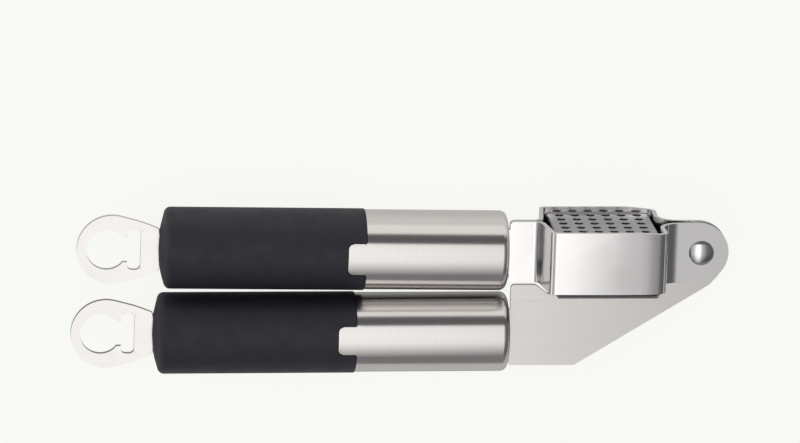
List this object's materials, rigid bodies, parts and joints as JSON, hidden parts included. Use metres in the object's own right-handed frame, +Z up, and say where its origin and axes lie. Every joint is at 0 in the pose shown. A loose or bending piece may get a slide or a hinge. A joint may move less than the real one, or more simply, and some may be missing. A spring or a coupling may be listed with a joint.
{
  "type": "garlic press",
  "caption": "Hand-held garlic press with two round gripped handles, a strap-sided hopper, a perforated sieve and a plunger that swings on the lever.",
  "frame": {"origin": "middle of the closed press's bounding box, at its bottom: the outer face of the hopper's back strap, which it lies on", "axes": "+X from the hanging loops towards the hinge, along the handles; +Y out of the perforated face of the sieve; +Z up, along the hinge rivet"},
  "size_m": [0.1902, 0.0491, 0.0304],
  "materials": {
    "brushed_tube": "brushed around the tube, rolled end",
    "black_grip": "fine matte moulding",
    "handle_core": "as moulded, hidden",
    "loop_steel": "polished stamping",
    "polished_strap": "mirror-polished bent strip",
    "satin_lever": "satin blanked plate",
    "sieve_steel": "tumbled, softly shining",
    "pin_steel": "polished rivet head"
  },
  "bodies": {
    "upper_arm": {"upper_handle_tube": "brushed_tube", "upper_grip": "black_grip", "upper_handle_core": "handle_core", "upper_handle_cap": "polished_strap", "upper_hanging_loop": "loop_steel", "upper_loop_pin": "pin_steel", "front_strap": "polished_strap", "back_strap": "polished_strap", "hinge_rivet": "pin_steel", "sieve_frame": "sieve_steel", "sieve_plate": "sieve_steel"},
    "lever": {"lower_handle_tube": "brushed_tube", "lower_grip": "black_grip", "lower_handle_core": "handle_core", "lower_handle_cap": "polished_strap", "lower_hanging_loop": "loop_steel", "lower_loop_pin": "pin_steel", "lever_plate": "satin_lever"},
    "plunger": {"plunger_head": "sieve_steel", "plunger_bracket": "sieve_steel", "plunger_pin": "pin_steel"}
  },
  "joints": [
    {"name": "main_hinge", "type": "hinge", "parent": "upper_arm", "child": "lever", "pos_m": [0.0872, 0.0116, 0.0152], "axis": [0, 0, 1], "range_deg": [0, 130]},
    {"name": "plunger_pivot", "type": "hinge", "parent": "lever", "child": "plunger", "pos_m": [0.0582, 0.0101, 0.0152], "axis": [0, 0, 1], "range_deg": [0, 39]}
  ],
  "couplings": [
    {"joint": "plunger_pivot", "follows": "main_hinge", "ratio": 0.3}
  ]
}
